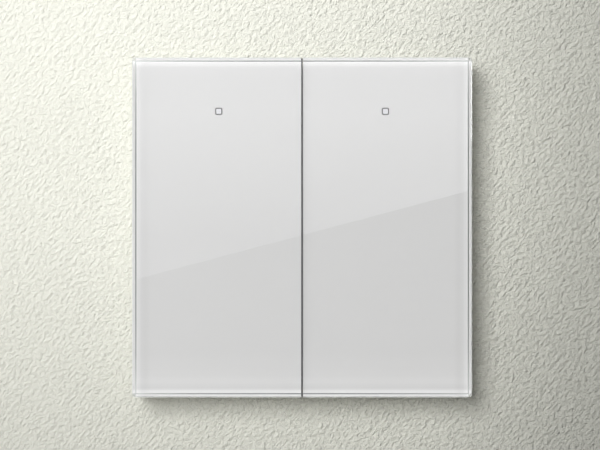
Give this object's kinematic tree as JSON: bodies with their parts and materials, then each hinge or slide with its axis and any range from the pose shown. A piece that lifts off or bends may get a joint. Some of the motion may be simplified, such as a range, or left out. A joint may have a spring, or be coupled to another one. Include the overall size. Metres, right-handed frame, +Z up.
{
  "type": "light switch",
  "caption": "Square frameless wall light switch with two tall rocking glass keys side by side, over a flush-mounted electronic insert.",
  "frame": {"origin": "on the wall's surface, in the middle of the four fixing slots of the support ring", "axes": "+X to the right as seen from the room, +Y into the wall, +Z up; the glass faces -Y"},
  "size_m": [0.086, 0.041, 0.086],
  "materials": {
    "clear_glass": "polished clear glass",
    "white_film": "white adhesive film",
    "dark_seal": "dark moulded plastic",
    "clear_plastic": "clear moulded acrylic",
    "white_plastic": "fine-textured white polycarbonate",
    "pale_plastic": "fine-textured pale grey polycarbonate",
    "steel_sheet": "zinc-coated sheet steel",
    "hinge_steel": "ground stainless steel",
    "screw_steel": "zinc-plated steel",
    "grey_plastic": "grey flame-retardant plastic",
    "board": "green solder mask",
    "black_plastic": "black moulded plastic",
    "ceramic": "brown ceramic",
    "lamp": "clear resin over a lamp chip",
    "switch_plastic": "natural acetal",
    "gold": "gold-flashed brass",
    "spring_steel": "drawn spring wire",
    "relay_case": "black moulded case",
    "transformer_tape": "yellow insulating tape",
    "can_aluminium": "sleeved aluminium can",
    "blue_coating": "blue epoxy coating",
    "terminal_plastic": "light grey polyamide",
    "clamp_brass": "nickel-free brass"
  },
  "bodies": {
    "root": {"light_pipe_left": "clear_plastic", "light_pipe_right": "clear_plastic", "base_frame": "pale_plastic", "module_cover": "pale_plastic", "support_ring": "steel_sheet", "hinge_pin_left": "hinge_steel", "hinge_pin_right": "hinge_steel", "module_screws": "screw_steel", "housing_screws": "screw_steel", "insert_screws": "screw_steel", "bracket_screws": "screw_steel", "terminal_screws": "screw_steel", "module_housing": "grey_plastic", "insert_cover": "grey_plastic", "rear_housing": "grey_plastic", "control_board": "board", "power_board": "board", "controller_chip": "black_plastic", "switch_cases": "black_plastic", "link_socket": "black_plastic", "link_header": "black_plastic", "board_components": "ceramic", "indicator_lamps": "lamp", "switch_bases": "switch_plastic", "switch_contacts": "gold", "link_pins": "gold", "return_spring_lower_left": "spring_steel", "return_spring_lower_right": "spring_steel", "return_spring_upper_left": "spring_steel", "return_spring_upper_right": "spring_steel", "relays": "relay_case", "transformer": "transformer_tape", "capacitor": "can_aluminium", "surge_protector": "blue_coating", "terminal_block": "terminal_plastic", "terminal_clamps": "clamp_brass"},
    "rocker_left": {"glass_left": "clear_glass", "adhesive_film_left": "white_film", "light_seal_left": "dark_seal", "indicator_window_left": "clear_plastic", "key_carrier_left": "white_plastic"},
    "rocker_right": {"glass_right": "clear_glass", "adhesive_film_right": "white_film", "light_seal_right": "dark_seal", "indicator_window_right": "clear_plastic", "key_carrier_right": "white_plastic"},
    "stem_upper_left": {"switch_stem_upper_left": "switch_plastic"},
    "stem_lower_left": {"switch_stem_lower_left": "switch_plastic"},
    "stem_upper_right": {"switch_stem_upper_right": "switch_plastic"},
    "stem_lower_right": {"switch_stem_lower_right": "switch_plastic"}
  },
  "joints": [
    {"name": "rocker_left_tilt", "type": "hinge", "parent": "root", "child": "rocker_left", "pos_m": [-0.0216, -0.0055, 0], "axis": [-1, 0, 0], "range_deg": [-1.6, 1.6], "stiffness_Nm_per_rad": 2.5},
    {"name": "rocker_right_tilt", "type": "hinge", "parent": "root", "child": "rocker_right", "pos_m": [0.0216, -0.0055, 0], "axis": [-1, 0, 0], "range_deg": [-1.6, 1.6], "stiffness_Nm_per_rad": 2.5},
    {"name": "stem_upper_left_slide", "type": "slide", "parent": "root", "child": "stem_upper_left", "axis": [0, 1, 0], "range_m": [-0.00052, 0.00052], "deforming": ["return_spring_upper_left"]},
    {"name": "stem_lower_left_slide", "type": "slide", "parent": "root", "child": "stem_lower_left", "axis": [0, 1, 0], "range_m": [-0.00052, 0.00052], "deforming": ["return_spring_lower_left"]},
    {"name": "stem_upper_right_slide", "type": "slide", "parent": "root", "child": "stem_upper_right", "axis": [0, 1, 0], "range_m": [-0.00052, 0.00052], "deforming": ["return_spring_upper_right"]},
    {"name": "stem_lower_right_slide", "type": "slide", "parent": "root", "child": "stem_lower_right", "axis": [0, 1, 0], "range_m": [-0.00052, 0.00052], "deforming": ["return_spring_lower_right"]}
  ],
  "couplings": [
    {"joint": "stem_upper_left_slide", "follows": "rocker_left_tilt", "m_per_rad": 0.0185},
    {"joint": "stem_lower_left_slide", "follows": "rocker_left_tilt", "m_per_rad": -0.0185},
    {"joint": "stem_upper_right_slide", "follows": "rocker_right_tilt", "m_per_rad": 0.0185},
    {"joint": "stem_lower_right_slide", "follows": "rocker_right_tilt", "m_per_rad": -0.0185}
  ]
}
